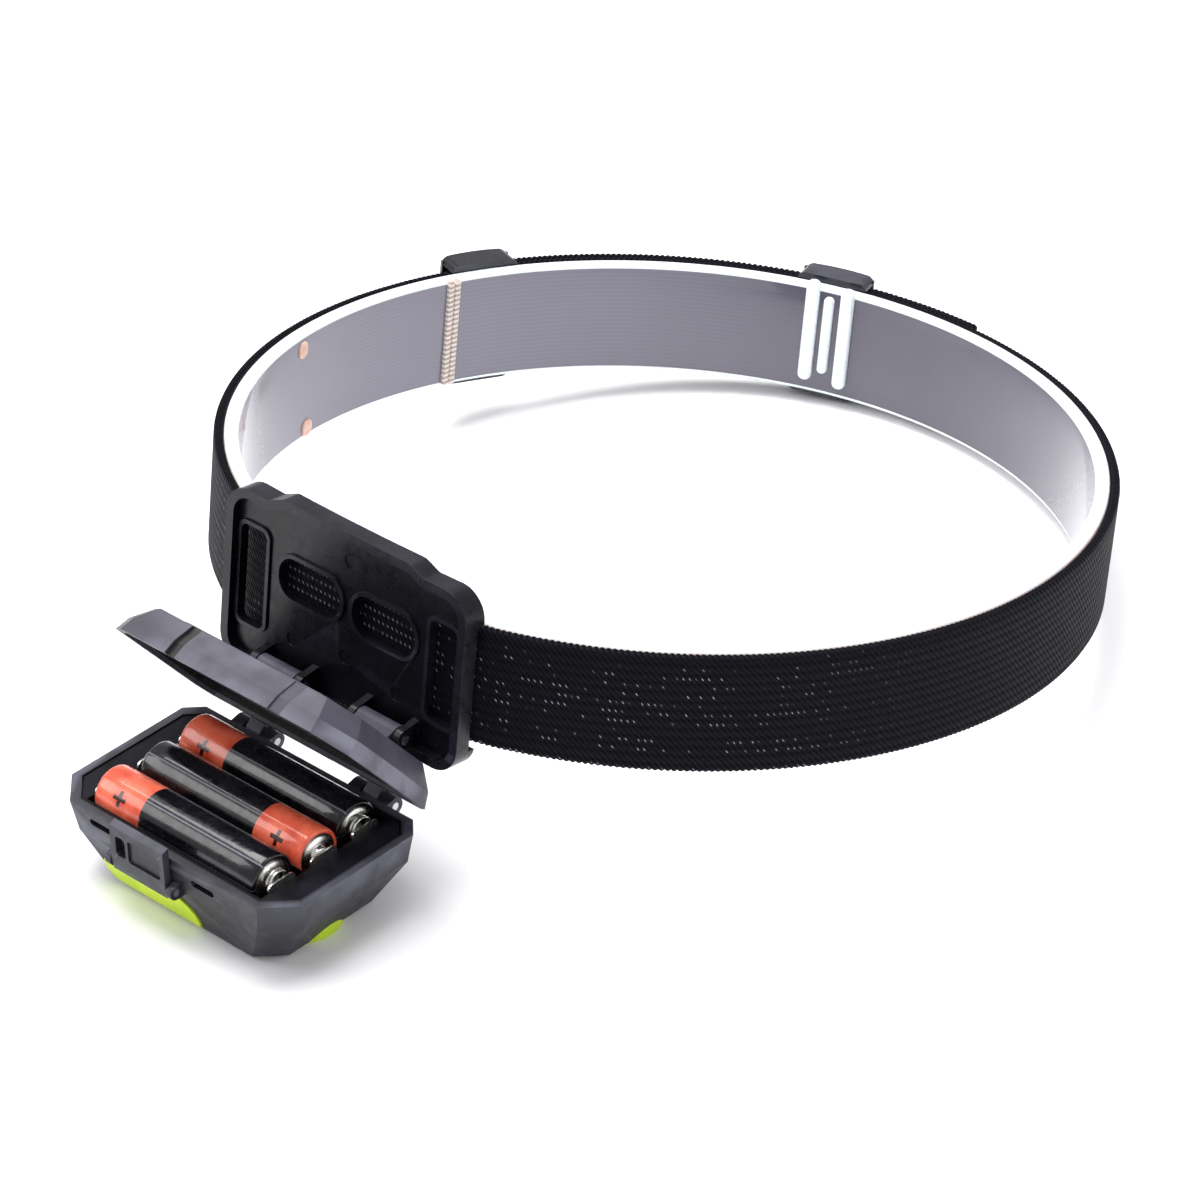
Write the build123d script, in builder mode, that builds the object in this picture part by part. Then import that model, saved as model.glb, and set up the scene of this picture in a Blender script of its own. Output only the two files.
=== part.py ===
from build123d import *
import math
import os

# Headlamp with an elastic headband. Millimetres, +Z up, Y runs from the lamp to the back of the band.
# It stands as it is put down open: the front bezel is flat on the table, the band slopes down to the back
# until its rear lower edge meets the table, and the rear cover of the lamp is swung open.

# ---- headband and its slope ----
strap_width = 25.0
strap_thickness = 2.0
band_half_width = 89.3
band_half_length = 93.8
band_centre = 88.0
band_slope = 8.93
strap_front = -1.2
front_bend_radius = 38.0
layer_thickness = 1.6
layer_gap = 0.15
liner_thickness = 3.0
liner_gap = 0.05
slider_overhang = 1.5
slider_foot_depth = 181.6

# ---- bracket plate, in the band's own axes ----
plate_half_width = 32.0
plate_top = 34.0
plate_shoulder = 32.4
plate_bottom = -5.6
plate_back = -1.4
plate_thickness = 1.6
rim_front = 3.4
rim_width = 2.0
skirt_back = 1.8
skirt_middle = 0.6
skirt_wall = 1.5
window_width = 16.6
window_height = 8.6
window_x = 9.9
window_z = 17.4
window_radius = 4.0
bead_width = 0.9
bead_height = 0.5
slot_width = 7.0
slot_height = 21.0
slot_x = 25.4
slot_z = 13.7
slot_radius = 1.5

# ---- tilt hinge between the bracket and the rear cover ----
tilt_axis_depth = -6.4
tilt_axis_height = -1.5
knuckle_radius = 2.2
tilt_pin_radius = 1.0
lug_near = 8.5
lug_far = 18.5
fork_gap = 0.3
fork_thickness = 1.6

# ---- rear cover ----
cover_angle = 51.0
cover_depth = 7.5
cover_wall = 1.6
lip_height = 1.5
lip_gap = 0.2
tilt_axis_on_cover = -7.0
tilt_axis_above_face = 2.4
slot_groove = (-12.2, 2.6, 1.1)
shallow_groove = (15.6, 3.1, 0.5)

# ---- lamp head ----
head_width = 63.0
head_length = 38.3
corner_cut = 6.0
rear_cut_share = 0.55
hinge_behind_wall = 2.2
shoulder_drop = 6.5
lens_width = 47.0
lens_length = 29.4
housing_wall = 1.8
door_pin_radius = 0.8
door_knuckle_radius = 1.9

# ---- cells ----
cell_radius = 5.25
cell_body = 43.4
cell_button = 1.1
cell_pitch = 10.9
cradle_radius = 5.4
bay_half_length = 23.7
plate_metal = 0.4

# ---- optics and switch ----
bezel_height = 3.2
lens_radius = 11.2
button_left = -20.0
button_straight = 0.0
button_right = 5.0
button_top = 7.6
button_bottom = 1.0
button_proud = 0.35
button_depth = 0.5
button_travel = 0.4
switch_x = -16.0
switch_z = 5.1
latch_width = 14.6
latch_x = -5.0
latch_thickness = 1.6
latch_top = 20.6
latch_bottom = 9.6

# ---- derived positions: the origin is the middle of the footprint, on the table ----
slope_sin = math.sin(math.radians(band_slope))
slope_cos = math.cos(math.radians(band_slope))
band_rise = slider_foot_depth * slope_sin + slider_overhang * slope_cos
band_front = -65.75


def band_point(x, depth, height):
    """A point given in the band's sloping axes."""
    return (
        x,
        band_front + depth * slope_cos + height * slope_sin,
        band_rise - depth * slope_sin + height * slope_cos,
    )


def band_plane(height=0.0):
    """A plane across the band, at a height above its lower edge."""
    return Plane(origin=band_point(0, 0, height), x_dir=(1, 0, 0), z_dir=(0, slope_sin, slope_cos))


def bracket_plane(depth):
    """A plane parallel to the bracket plate, whose normal points out to the lamp."""
    return Plane(origin=band_point(0, depth, 0), x_dir=(1, 0, 0), z_dir=(0, -slope_cos, slope_sin))


def bracket_side_plane(x):
    """A plane across the bracket at a given x, for profiles seen from the side."""
    return Plane(origin=band_point(x, 0, 0), x_dir=(0, slope_cos, -slope_sin), z_dir=(1, 0, 0))


cover_sin = math.sin(math.radians(cover_angle))
cover_cos = math.cos(math.radians(cover_angle))
cover_top = lip_height + cover_depth
tilt_axis = band_point(0, tilt_axis_depth, tilt_axis_height)
tilt_axis_offset = cover_top + tilt_axis_above_face
door_axis_y = tilt_axis[1] - (tilt_axis_on_cover * cover_cos + tilt_axis_offset * cover_sin)
door_axis_z = tilt_axis[2] - (-tilt_axis_on_cover * cover_sin + tilt_axis_offset * cover_cos)
rim_z = door_axis_z + lip_height
rear_wall_y = door_axis_y - hinge_behind_wall
head_y = rear_wall_y - head_length / 2
front_wall_y = rear_wall_y - head_length
cell_z = rim_z - 0.2


def cover_plane(height=0.0):
    """A plane parallel to the rear cover, at a height above the door hinge's axis."""
    return Plane(
        origin=(0, door_axis_y + height * cover_sin, door_axis_z + height * cover_cos),
        x_dir=(1, 0, 0),
        z_dir=(0, cover_sin, cover_cos),
    )


def cover_side_plane(x):
    """A plane across the rear cover at a given x."""
    return Plane(origin=(x, door_axis_y, door_axis_z), x_dir=(0, cover_cos, -cover_sin), z_dir=(1, 0, 0))


def side_plane(x):
    """A plane across the lamp head at a given x: its axes are Y and Z."""
    return Plane(origin=(x, 0, 0), x_dir=(0, 1, 0), z_dir=(1, 0, 0))


def front_plane(y):
    """A plane facing the front of the lamp: its axes are X and Z."""
    return Plane(origin=(0, y, 0), x_dir=(1, 0, 0), z_dir=(0, -1, 0))


def save(part, name):
    """Label a finished piece and write it."""
    part.label = name
    export_step(part, f"parts/{name}.step")


def eight_sided_profile(width, length, cut, centre_y):
    """A rectangle with its corners cut off, the rear two less than the front two."""
    half = width / 2
    rear_cut = cut * rear_cut_share
    near = centre_y - length / 2
    far = centre_y + length / 2
    with BuildSketch(Plane.XY) as profile:
        with BuildLine():
            Polyline(
                (-half, near + cut),
                (-half + cut, near),
                (half - cut, near),
                (half, near + cut),
                (half, far - rear_cut),
                (half - rear_cut, far),
                (-half + rear_cut, far),
                (-half, far - rear_cut),
                close=True,
            )
        make_face()
    return profile.sketch


def band_arc_profile(start, end, inner, outer):
    """A slice of the band's curve seen from above, between two offsets from its outer face."""
    with BuildSketch(Plane.XY) as profile:
        with BuildLine():
            turn = end - start
            middle = (0, band_centre)
            far = EllipticalCenterArc(
                middle, band_half_width + outer, band_half_length + outer, start_angle=start, arc_size=turn
            )
            near = EllipticalCenterArc(
                middle, band_half_width + inner, band_half_length + inner, start_angle=start, arc_size=turn
            )
            Line(far @ 0, near @ 0)
            Line(far @ 1, near @ 1)
        make_face()
    return profile.sketch


def band_loop_profile(offset, front):
    """The band's closed curve: an ellipse with a flat behind the bracket plate."""
    a = band_half_width + offset
    b = band_half_length + offset
    drop = (band_centre - front) / b
    start = -math.degrees(math.asin(drop))
    with BuildSketch(Plane.XY) as profile:
        with BuildLine():
            arc = EllipticalCenterArc((0, band_centre), a, b, start_angle=start, arc_size=180 - 2 * start)
            Line(arc @ 1, arc @ 0)
        make_face()
        fillet(vertices(), front_bend_radius + offset)
    return profile.sketch


def bracket_outline_profile():
    """The bracket plate's outline: its top edge stands a little higher in the middle."""
    with BuildSketch(Plane.XY) as profile:
        with BuildLine():
            Polyline(
                (-17, plate_top),
                (17, plate_top),
                (20.5, plate_shoulder),
                (plate_half_width, plate_shoulder),
                (plate_half_width, plate_bottom),
                (-plate_half_width, plate_bottom),
                (-plate_half_width, plate_shoulder),
                (-20.5, plate_shoulder),
                close=True,
            )
        make_face()
        ends = vertices().group_by(Axis.X)[0] + vertices().group_by(Axis.X)[-1]
        fillet(ends, 6)
        fillet(vertices().filter_by(lambda point: abs(point.X) < 21), 2.2)
    return profile.sketch


# ---- headband ----

os.makedirs("parts", exist_ok=True)

with BuildPart() as headband_strap:
    with BuildSketch(band_plane()):
        add(band_loop_profile(0, strap_front))
    extrude(amount=strap_width)
    with BuildSketch(band_plane()):
        add(band_loop_profile(-strap_thickness, strap_front + strap_thickness))
    extrude(amount=strap_width, mode=Mode.SUBTRACT)
save(headband_strap.part, "headband_strap")

with BuildPart() as band_liner:
    liner_outside = strap_thickness + liner_gap
    liner_inside = liner_outside + liner_thickness
    with BuildSketch(band_plane()):
        add(band_loop_profile(-liner_outside, strap_front + liner_outside))
    extrude(amount=strap_width)
    with BuildSketch(band_plane()):
        add(band_loop_profile(-liner_inside, strap_front + liner_inside))
    extrude(amount=strap_width, mode=Mode.SUBTRACT)
save(band_liner.part, "band_liner")

rear_slider_angle = 110
left_slider_angle = 160

with BuildPart() as strap_second_layer:
    with BuildSketch(band_plane()):
        add(band_arc_profile(rear_slider_angle, left_slider_angle, layer_gap, layer_gap + layer_thickness))
    extrude(amount=strap_width)
save(strap_second_layer.part, "strap_second_layer")

tail_start = 88
tail_end = rear_slider_angle - 0.4

with BuildPart() as strap_tail:
    with BuildSketch(band_plane()):
        add(band_arc_profile(tail_start, tail_end, layer_gap, layer_gap + layer_thickness))
    extrude(amount=strap_width)
save(strap_tail.part, "strap_tail")


# ---- strap sliders: a frame with three bars that the two layers of strap run through ----

slider_length = 16.0
slider_height = strap_width + 2 * slider_overhang
slider_rail = slider_overhang - 0.1
slider_bar = 2.4
slider_depth = 6.3
slider_bar_depth = 1.75
slider_end_drop = 0.9
slider_inside = 2.6


def slider_plane(angle, height):
    """A plane on the band's outer face at an angle round it, with its normal pointing outwards."""
    turn = math.radians(angle)
    x = band_half_width * math.cos(turn)
    depth = band_centre + band_half_length * math.sin(turn)
    normal_x = math.cos(turn) / band_half_width
    normal_depth = math.sin(turn) / band_half_length
    size = math.hypot(normal_x, normal_depth)
    normal_x = normal_x / size
    normal_depth = normal_depth / size
    start = band_point(0, 0, 0)
    outward = band_point(normal_x, normal_depth, 0)
    along = band_point(-normal_depth, normal_x, 0)
    normal = tuple(outward[i] - start[i] for i in range(3))
    tangent = tuple(along[i] - start[i] for i in range(3))
    middle = band_point(x, depth, strap_width / 2)
    origin = tuple(middle[i] + height * normal[i] for i in range(3))
    return Plane(origin=origin, x_dir=tangent, z_dir=normal)


def build_slider(angle, name):
    """One strap slider."""
    with BuildPart() as slider:
        with BuildSketch(slider_plane(angle, -slider_inside)):
            RectangleRounded(slider_length, slider_height, 2.0)
        extrude(amount=slider_depth)
        with BuildSketch(slider_plane(angle, -slider_inside)):
            Rectangle(slider_length, slider_height - 2 * slider_rail)
        extrude(amount=slider_depth, mode=Mode.SUBTRACT)
        with BuildSketch(slider_plane(angle, slider_depth - slider_inside - slider_bar_depth)):
            with GridLocations((slider_length - slider_bar) / 2, 0, 3, 1):
                Rectangle(slider_bar, slider_height - slider_rail)
        extrude(amount=slider_bar_depth)
        # its outer face is arched along the strap
        face = slider_plane(angle, 0)
        start = band_point(0, 0, 0)
        above = band_point(0, 0, 1)
        downwards = tuple(start[i] - above[i] for i in range(3))
        with BuildSketch(Plane(origin=face.origin, x_dir=face.x_dir, z_dir=downwards)):
            with BuildLine():
                end = slider_length / 2 + 0.1
                crown = slider_depth - slider_inside
                ThreePointArc((-end, crown - slider_end_drop), (0, crown), (end, crown - slider_end_drop))
                Polyline(
                    (end, crown - slider_end_drop),
                    (end, -slider_inside - 0.1),
                    (-end, -slider_inside - 0.1),
                    (-end, crown - slider_end_drop),
                )
            make_face()
        extrude(amount=slider_height, both=True, mode=Mode.INTERSECT)
    save(slider.part, name)


build_slider(left_slider_angle, "slider_left")
build_slider(rear_slider_angle, "slider_rear")


# ---- bracket plate ----

lug_positions = [(-1, lug_near, lug_far), (1, lug_near, lug_far)]


def tilt_fork_profile():
    """One arm of the tilt fork from the side: an eye round the axis and a web back to the plate."""
    with BuildSketch(Plane.XY) as profile:
        with BuildLine():
            Polyline(
                (tilt_axis_depth, tilt_axis_height - knuckle_radius),
                (plate_back - 0.4, tilt_axis_height - knuckle_radius),
                (plate_back - 0.4, tilt_axis_height + knuckle_radius + 1.2),
                (tilt_axis_depth, tilt_axis_height + knuckle_radius),
                close=True,
            )
        make_face()
        with Locations((tilt_axis_depth, tilt_axis_height)):
            Circle(knuckle_radius)
            Circle(tilt_pin_radius + 0.02, mode=Mode.SUBTRACT)
    return profile.sketch


with BuildPart() as bracket_plate:
    with BuildSketch(bracket_plane(plate_back)):
        add(bracket_outline_profile())
    extrude(amount=plate_thickness)
    with BuildSketch(bracket_plane(plate_back)):
        add(bracket_outline_profile())
        offset(amount=-rim_width, mode=Mode.SUBTRACT)
    extrude(amount=rim_front)
    with BuildSketch(bracket_plane(plate_back + skirt_back)):
        add(bracket_outline_profile())
        offset(amount=-skirt_wall, mode=Mode.SUBTRACT)
    extrude(amount=skirt_back)
    # raised beads round the two windows and the two strap slots
    with BuildSketch(bracket_plane(plate_back - plate_thickness)):
        around = 2 * bead_width
        with Locations((-window_x, window_z), (window_x, window_z)):
            RectangleRounded(window_width + around, window_height + around, window_radius + bead_width)
        with Locations((-slot_x, slot_z), (slot_x, slot_z)):
            RectangleRounded(slot_width + around, slot_height + around, slot_radius + bead_width)
    extrude(amount=bead_height)
    with BuildSketch(bracket_plane(plate_back)):
        with Locations((-window_x, window_z), (window_x, window_z)):
            RectangleRounded(window_width, window_height, window_radius)
        with Locations((-slot_x, slot_z), (slot_x, slot_z)):
            RectangleRounded(slot_width, slot_height, slot_radius)
    extrude(amount=rim_front, mode=Mode.SUBTRACT)
    # the strap leaves through a gap in each short side of the skirt
    with BuildSketch(bracket_plane(plate_back + skirt_back)):
        with Locations((-plate_half_width, strap_width / 2), (plate_half_width, strap_width / 2)):
            Rectangle(8, strap_width + 1.4)
    extrude(amount=skirt_back, mode=Mode.SUBTRACT)
    # the back of the skirt is hollow from side to side, to lie on a forehead
    with BuildSketch(band_plane(plate_bottom - 1)):
        with BuildLine():
            reach = plate_half_width + 1
            back_edge = plate_back + skirt_back
            ThreePointArc((-reach, back_edge), (0, plate_back + skirt_middle), (reach, back_edge))
            Polyline((reach, back_edge), (reach, back_edge + 3), (-reach, back_edge + 3), (-reach, back_edge))
        make_face()
    extrude(amount=plate_top - plate_bottom + 2, mode=Mode.SUBTRACT)
    # shallow round mould marks
    with BuildSketch(bracket_plane(plate_back - plate_thickness + 0.2)):
        with Locations((-14, 4.5), (0, 6.5), (14, 4.5), (0, 27)):
            Circle(1.5)
    extrude(amount=0.4, mode=Mode.SUBTRACT)
    # fork arms on both sides of each cover lug
    for side, near, far in lug_positions:
        inner_arm = near - fork_gap - fork_thickness
        outer_arm = far + fork_gap
        for arm in (inner_arm, outer_arm):
            start = side * arm if side > 0 else -arm - fork_thickness
            with BuildSketch(bracket_side_plane(start)):
                add(tilt_fork_profile())
            extrude(amount=fork_thickness)
save(bracket_plate.part, "bracket_plate")

pin_length = lug_far - lug_near + 2 * (fork_gap + fork_thickness)

with BuildPart() as tilt_pins:
    for centre in (-(lug_near + lug_far) / 2, (lug_near + lug_far) / 2):
        with BuildSketch(bracket_side_plane(centre)):
            with Locations((tilt_axis_depth, tilt_axis_height)):
                Circle(tilt_pin_radius)
        extrude(amount=pin_length / 2, both=True)
save(tilt_pins.part, "tilt_pins")


# ---- rear cover ----

lip_y = -hinge_behind_wall - head_length / 2
cover_lip = (head_width, head_length, corner_cut)
cover_crease = (head_width - 1.6, head_length - 1.6, corner_cut)
cover_face = (head_width - 7.6, head_length - 6.4, corner_cut - 0.6)
crease_height = lip_height + 3.4


def cover_section_profile(section, inset):
    """One level of the rear cover's faceted shell."""
    width, length, cut = section
    return eight_sided_profile(width - 2 * inset, length - 2 * inset, cut - 0.4 * inset, lip_y)


def cover_arm_profile():
    """The rear cover's hinge arm from the side: an eye round the door axis and a web to the skirt."""
    with BuildSketch(Plane.XY) as profile:
        with BuildLine():
            Polyline(
                (-door_knuckle_radius, 0),
                (door_knuckle_radius, 0),
                (0.9, 4.2),
                (-hinge_behind_wall - 1.9, 6.4),
                (-hinge_behind_wall - 0.9, lip_height + 0.7),
                (-door_knuckle_radius, lip_height + 0.7),
                close=True,
            )
        make_face()
        Circle(door_knuckle_radius)
        Circle(door_pin_radius + 0.05, mode=Mode.SUBTRACT)
    return profile.sketch


def cover_lug_profile():
    """The rear cover's tilt lug from the side."""
    with BuildSketch(Plane.XY) as profile:
        with BuildLine():
            Polyline(
                (tilt_axis_on_cover - knuckle_radius, tilt_axis_offset),
                (tilt_axis_on_cover - knuckle_radius - 1.4, cover_top - 0.4),
                (tilt_axis_on_cover + knuckle_radius, cover_top - 0.4),
                (tilt_axis_on_cover + knuckle_radius, tilt_axis_offset),
                close=True,
            )
        make_face()
        with Locations((tilt_axis_on_cover, tilt_axis_offset)):
            Circle(knuckle_radius)
            Circle(tilt_pin_radius + 0.06, mode=Mode.SUBTRACT)
    return profile.sketch


cover_arm_near = 14.0
cover_arm_far = 18.0

with BuildPart() as rear_cover:
    lip_level = lip_height + lip_gap
    for low, high in (((cover_lip, lip_level), (cover_crease, crease_height)),
                      ((cover_crease, crease_height), (cover_face, cover_top))):
        with BuildSketch(cover_plane(low[1])):
            add(cover_section_profile(low[0], 0))
        with BuildSketch(cover_plane(high[1])):
            add(cover_section_profile(high[0], 0))
        loft(ruled=True)
    inner_top = cover_top - cover_wall
    for low, high in (((cover_lip, lip_level), (cover_crease, crease_height)),
                      ((cover_crease, crease_height), (cover_face, inner_top))):
        with BuildSketch(cover_plane(low[1])):
            add(cover_section_profile(low[0], cover_wall))
        with BuildSketch(cover_plane(high[1])):
            add(cover_section_profile(high[0], cover_wall))
        loft(ruled=True, mode=Mode.SUBTRACT)
    # ribs that hold the cells down, and a raised panel on the outer face
    with BuildSketch(cover_plane(inner_top)):
        with Locations((-14, lip_y), (0, lip_y), (14, lip_y)):
            Rectangle(1.4, head_length - 12)
    extrude(amount=-0.7)
    with BuildSketch(cover_plane(cover_top)):
        with Locations((0, lip_y - 4)):
            RectangleRounded(40, 17, 3)
            RectangleRounded(38.4, 15.4, 2.4, mode=Mode.SUBTRACT)
    extrude(amount=0.4)
    # two grooves down the free skirt, the left one narrow and deep
    for groove_x, groove_width, groove_depth in (slot_groove, shallow_groove):
        with BuildSketch(cover_side_plane(groove_x)):
            with BuildLine():
                free_y = lip_y - head_length / 2
                Polyline(
                    (free_y - 1, lip_level - 0.1),
                    (free_y + groove_depth, lip_level - 0.1),
                    (free_y + 0.8 + groove_depth, crease_height),
                    (free_y + 3.2 + groove_depth, cover_top + 0.1),
                    (free_y - 1, cover_top + 0.1),
                    close=True,
                )
            make_face()
        extrude(amount=groove_width / 2, both=True, mode=Mode.SUBTRACT)
    # hinge arms to the lamp head
    for centre in (-(cover_arm_near + cover_arm_far) / 2, (cover_arm_near + cover_arm_far) / 2):
        with BuildSketch(cover_side_plane(centre)):
            add(cover_arm_profile())
        extrude(amount=(cover_arm_far - cover_arm_near) / 2, both=True)
    # lugs to the bracket's forks
    for centre in (-(lug_near + lug_far) / 2, (lug_near + lug_far) / 2):
        with BuildSketch(cover_side_plane(centre)):
            add(cover_lug_profile())
        extrude(amount=(lug_far - lug_near) / 2, both=True)
save(rear_cover.part, "rear_cover")

with BuildPart() as cover_gasket:
    with BuildSketch(cover_plane(lip_height + 1.0)):
        add(cover_section_profile(cover_crease, cover_wall + 0.05))
        add(cover_section_profile(cover_crease, cover_wall + 0.4), mode=Mode.SUBTRACT)
    extrude(amount=1.2)
save(cover_gasket.part, "cover_gasket")


# ---- lamp housing ----

rim_section = (head_width, head_length, corner_cut)
shoulder_section = (head_width - 2.4, head_length - 1.4, corner_cut)
nose_section = (lens_width, lens_length, corner_cut - 1.0)
shoulder_z = rim_z - shoulder_drop
nose_z = 0.8
nose_shift = -0.4


def head_section_profile(section, inset, shift=0.0):
    """One level of the lamp head's faceted shell."""
    width, length, cut = section
    return eight_sided_profile(width - 2 * inset, length - 2 * inset, cut - 0.4 * inset, head_y + shift)


def housing_knuckle_profile():
    """The housing's hinge eye from the side, with a web forward into the rear wall."""
    with BuildSketch(Plane.XY) as profile:
        with BuildLine():
            Polyline(
                (door_axis_y, door_axis_z + door_knuckle_radius),
                (rear_wall_y - 1.0, rim_z - 0.3),
                (rear_wall_y - 1.0, door_axis_z - door_knuckle_radius - 1.5),
                (door_axis_y, door_axis_z - door_knuckle_radius),
                close=True,
            )
        make_face()
        with Locations((door_axis_y, door_axis_z)):
            Circle(door_knuckle_radius)
            Circle(door_pin_radius + 0.02, mode=Mode.SUBTRACT)
    return profile.sketch


def front_face_y(z):
    """The housing's front face at a height."""
    if z >= shoulder_z:
        share = (rim_z - z) / (rim_z - shoulder_z)
        return front_wall_y + share * 0.7
    share = (shoulder_z - z) / (shoulder_z - nose_z)
    nose_front = head_y + nose_shift - lens_length / 2
    return front_wall_y + 0.7 + share * (nose_front - front_wall_y - 0.7)


def button_outline_profile():
    """The push button from the front: half round at the left, its top curving down at the right."""
    middle = (button_top + button_bottom) / 2
    radius = (button_top - button_bottom) / 2
    with BuildSketch(Plane.XY) as profile:
        with BuildLine():
            Line((button_left + radius, button_top), (button_straight, button_top))
            TangentArc((button_straight, button_top), (button_right, button_bottom), tangent=(1, 0))
            Line((button_right, button_bottom), (button_left + radius, button_bottom))
            ThreePointArc(
                (button_left + radius, button_bottom),
                (button_left, middle),
                (button_left + radius, button_top),
            )
        make_face()
    return profile.sketch


latch_axis_z = 11.2
latch_axis_y = front_face_y(latch_axis_z) - 1.5
latch_pin_radius = 0.7
ear_radius = 1.5
ear_width = 1.5
latch_side_gap = 0.25


def latch_ear_profile():
    """An ear on the front wall that holds the latch's pin."""
    wall = front_face_y(latch_axis_z) + 0.9
    with BuildSketch(Plane.XY) as profile:
        with BuildLine():
            Polyline(
                (latch_axis_y, latch_axis_z - ear_radius),
                (wall, latch_axis_z - ear_radius),
                (wall, latch_axis_z + ear_radius),
                (latch_axis_y, latch_axis_z + ear_radius),
                close=True,
            )
        make_face()
        with Locations((latch_axis_y, latch_axis_z)):
            Circle(ear_radius)
            Circle(latch_pin_radius + 0.02, mode=Mode.SUBTRACT)
    return profile.sketch


housing_eyes = (10.7, 18.3)
housing_eye_width = 3.0
bezel_half_width = 24.8
bezel_half_length = 13.0
bezel_y = head_y + nose_shift

with BuildPart() as lamp_housing:
    for low, high in (((rim_section, rim_z, 0), (shoulder_section, shoulder_z, 0)),
                      ((shoulder_section, shoulder_z, 0), (nose_section, nose_z, nose_shift))):
        with BuildSketch(Plane.XY.offset(low[1])):
            add(head_section_profile(low[0], 0, low[2]))
        with BuildSketch(Plane.XY.offset(high[1])):
            add(head_section_profile(high[0], 0, high[2]))
        loft(ruled=True)
    for low, high in (((rim_section, rim_z, 0), (shoulder_section, shoulder_z, 0)),
                      ((shoulder_section, shoulder_z, 0), (nose_section, nose_z, nose_shift))):
        with BuildSketch(Plane.XY.offset(low[1])):
            add(head_section_profile(low[0], housing_wall, low[2]))
        with BuildSketch(Plane.XY.offset(high[1])):
            add(head_section_profile(high[0], housing_wall, high[2]))
        loft(ruled=True, mode=Mode.SUBTRACT)
    # seat for the bezel: its round ends break through the two short sides
    with BuildSketch(Plane.XY.offset(nose_z)):
        with Locations((0, bezel_y)):
            Ellipse(bezel_half_width + 0.15, bezel_half_length + 0.15)
    extrude(amount=bezel_height + 0.2 - nose_z, mode=Mode.SUBTRACT)
    # slot for the push button
    with BuildSketch(front_plane(front_wall_y - 1)):
        add(button_outline_profile())
        offset(amount=0.3)
    extrude(amount=-7.2, mode=Mode.SUBTRACT)
    # short slots in the front wall on both sides of the latch
    with BuildSketch(front_plane(front_wall_y - 1)):
        with Locations((-17.3, 15.6), (10.2, 14.6)):
            SlotOverall(6.2, 1.5)
    extrude(amount=-3.4, mode=Mode.SUBTRACT)
    # hinge eyes behind the rear wall
    for side in (-1, 1):
        for eye in housing_eyes:
            start = eye if side > 0 else -eye - housing_eye_width
            with BuildSketch(side_plane(start)):
                add(housing_knuckle_profile())
            extrude(amount=housing_eye_width)
    # ears for the latch
    ear_left = latch_x - latch_width / 2 - latch_side_gap - ear_width
    ear_right = latch_x + latch_width / 2 + latch_side_gap
    for start in (ear_left, ear_right):
        with BuildSketch(side_plane(start)):
            add(latch_ear_profile())
        extrude(amount=ear_width)
save(lamp_housing.part, "lamp_housing")

with BuildPart() as door_pins:
    pin_middle = housing_eyes[0] + (housing_eyes[1] + housing_eye_width - housing_eyes[0]) / 2
    pin_reach = (housing_eyes[1] + housing_eye_width - housing_eyes[0]) / 2
    for centre in (-pin_middle, pin_middle):
        with BuildSketch(side_plane(centre)):
            with Locations((door_axis_y, door_axis_z)):
                Circle(door_pin_radius)
        extrude(amount=pin_reach, both=True)
save(door_pins.part, "door_pins")


# ---- battery tray and cells ----

tray_top = rim_z - 0.3
tray_floor = rim_z - 6.9
tray_clearance = 0.15
cell_rows = [head_y - cell_pitch, head_y, head_y + cell_pitch]

with BuildPart() as battery_tray:
    with BuildSketch(Plane.XY.offset(tray_top)):
        add(head_section_profile(rim_section, housing_wall + tray_clearance + 0.1))
    with BuildSketch(Plane.XY.offset(tray_floor)):
        add(head_section_profile(shoulder_section, housing_wall + tray_clearance + 0.3))
    loft(ruled=True)
    for row in cell_rows:
        with BuildSketch(side_plane(-bay_half_length)):
            with Locations((row, cell_z)):
                Circle(cradle_radius)
        extrude(amount=2 * bay_half_length, mode=Mode.SUBTRACT)
save(battery_tray.part, "battery_tray")

cell_clear = 0.05


def build_cell(row, positive_left, name):
    """One AAA cell: a can with its button at the positive end."""
    sign = -1 if positive_left else 1
    button_tip = sign * (bay_half_length - plate_metal - cell_clear)
    shoulder = button_tip - sign * cell_button
    tail = shoulder - sign * cell_body
    with BuildPart() as cell:
        with BuildSketch(side_plane(min(shoulder, tail))):
            with Locations((row, cell_z)):
                Circle(cell_radius)
        extrude(amount=cell_body)
        with BuildSketch(side_plane(min(shoulder, button_tip))):
            with Locations((row, cell_z)):
                Circle(1.9)
        extrude(amount=cell_button)
        rims = edges().filter_by(GeomType.CIRCLE).filter_by(lambda edge: edge.radius > cell_radius - 0.1)
        fillet(rims, 0.6)
    save(cell.part, name)


build_cell(cell_rows[0], True, "cell_front")
build_cell(cell_rows[1], False, "cell_middle")
build_cell(cell_rows[2], True, "cell_rear")

with BuildPart() as contact_plates:
    for row in cell_rows:
        for start in (-bay_half_length, bay_half_length - plate_metal):
            with BuildSketch(side_plane(start)):
                with Locations((row, cell_z - 1.5)):
                    RectangleRounded(7.0, 5.6, 1.2)
            extrude(amount=plate_metal)
save(contact_plates.part, "contact_plates")

spring_gap = 2 * bay_half_length - 2 * plate_metal - cell_button - cell_body - cell_clear
spring_wire = 0.25
spring_turns = 2.0
spring_radius = 2.4


def build_spring(row, on_left, name):
    """A coil spring that presses on a cell's flat end."""
    sign = -1 if on_left else 1
    base_x = sign * (bay_half_length - plate_metal - spring_wire)
    height = spring_gap - 2 * spring_wire - 0.1
    with BuildPart() as spring:
        with BuildLine() as coil:
            Helix(
                height / spring_turns,
                height,
                spring_radius,
                center=(base_x, row, cell_z),
                direction=(-sign, 0, 0),
            )
        with BuildSketch(Plane(origin=coil.line @ 0, z_dir=coil.line % 0)):
            Circle(spring_wire)
        sweep(path=coil.line, is_frenet=True)
    save(spring.part, name)


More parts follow.
